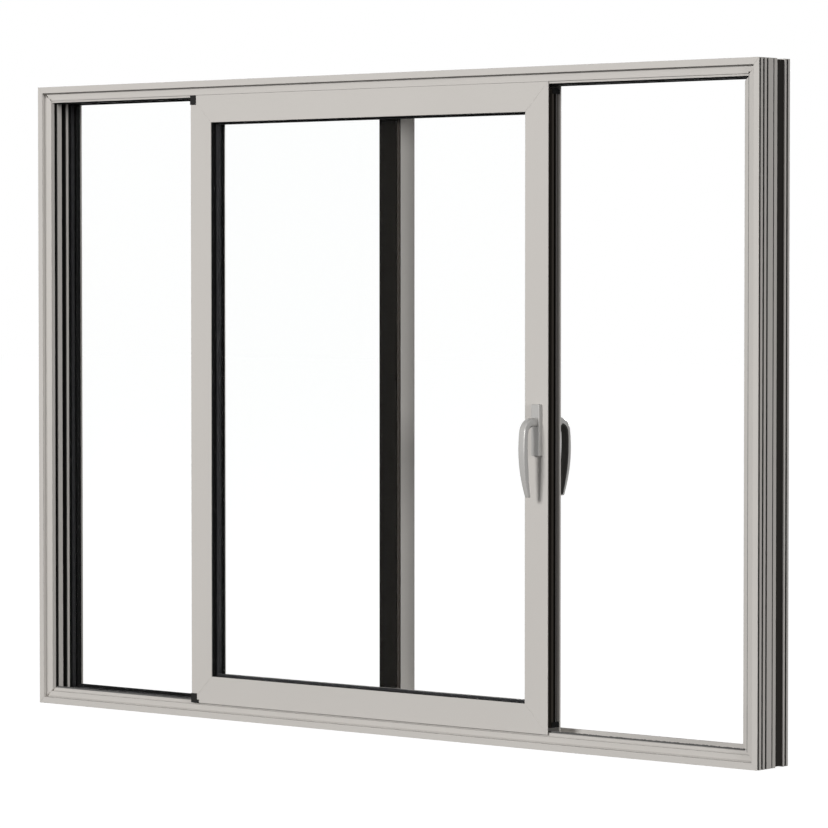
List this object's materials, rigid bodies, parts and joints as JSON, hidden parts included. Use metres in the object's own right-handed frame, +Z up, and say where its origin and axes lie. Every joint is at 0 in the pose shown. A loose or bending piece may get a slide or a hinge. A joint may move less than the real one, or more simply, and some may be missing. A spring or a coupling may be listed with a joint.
{
  "type": "sliding patio door",
  "caption": "Aluminium-framed glass sliding patio door with a fixed lite, a sliding panel on the indoor track and a lever handle on each face of the panel.",
  "frame": {"origin": "middle of the sill's underside, half way through the frame's depth", "axes": "+X to the right seen from indoors, +Y from indoors to outdoors, +Z up"},
  "size_m": [3, 0.2342, 2.1],
  "materials": {
    "frame_paint": "fine powder coat, warm light grey",
    "thermal_break": "black polyamide",
    "gasket_rubber": "black gasket",
    "clear_glass": "clear float",
    "spacer_bar": "dark warm-edge bar",
    "stainless_rail": "brushed",
    "satin_handle": "satin",
    "guide_nylon": "black nylon",
    "post_cover": "black"
  },
  "bodies": {
    "frame": {"head_inner_shell": "frame_paint", "head_thermal_break": "thermal_break", "head_outer_shell": "frame_paint", "sill_inner_shell": "frame_paint", "sill_thermal_break": "thermal_break", "sill_outer_shell": "frame_paint", "left_jamb_inner_shell": "frame_paint", "left_jamb_thermal_break": "thermal_break", "left_jamb_outer_shell": "frame_paint", "right_jamb_inner_shell": "frame_paint", "right_jamb_thermal_break": "thermal_break", "right_jamb_outer_shell": "frame_paint", "meeting_post": "frame_paint", "meeting_post_cover": "post_cover", "fixed_glass": "clear_glass", "fixed_spacer": "spacer_bar", "fixed_inner_gasket": "gasket_rubber", "fixed_outer_gasket": "gasket_rubber", "sill_rail": "stainless_rail", "head_guide": "guide_nylon"},
    "panel": {"top_rail_inner": "frame_paint", "top_rail_break": "thermal_break", "top_rail_outer": "frame_paint", "bottom_rail_inner": "frame_paint", "bottom_rail_break": "thermal_break", "bottom_rail_outer": "frame_paint", "meeting_stile_inner": "frame_paint", "meeting_stile_break": "thermal_break", "meeting_stile_outer": "frame_paint", "lock_stile_inner": "frame_paint", "lock_stile_break": "thermal_break", "lock_stile_outer": "frame_paint", "panel_glass": "clear_glass", "panel_spacer": "spacer_bar", "panel_inner_gasket": "gasket_rubber", "panel_outer_gasket": "gasket_rubber", "lock_stile_edge": "thermal_break", "meeting_stile_plugs": "guide_nylon", "roller_carriages": "stainless_rail", "roller_wheels": "guide_nylon", "inner_handle_plate": "satin_handle", "outer_handle_plate": "satin_handle"},
    "lever": {"inner_lever": "satin_handle", "outer_lever": "satin_handle", "lever_spindle": "stainless_rail"}
  },
  "joints": [
    {"name": "panel_slide", "type": "slide", "parent": "frame", "child": "panel", "axis": [1, 0, 0], "range_m": [-0.59, 0.746]},
    {"name": "lever_turn", "type": "hinge", "parent": "panel", "child": "lever", "pos_m": [0.663, 0, 1.009], "axis": [0, 1, 0], "range_deg": [0, 180]}
  ]
}
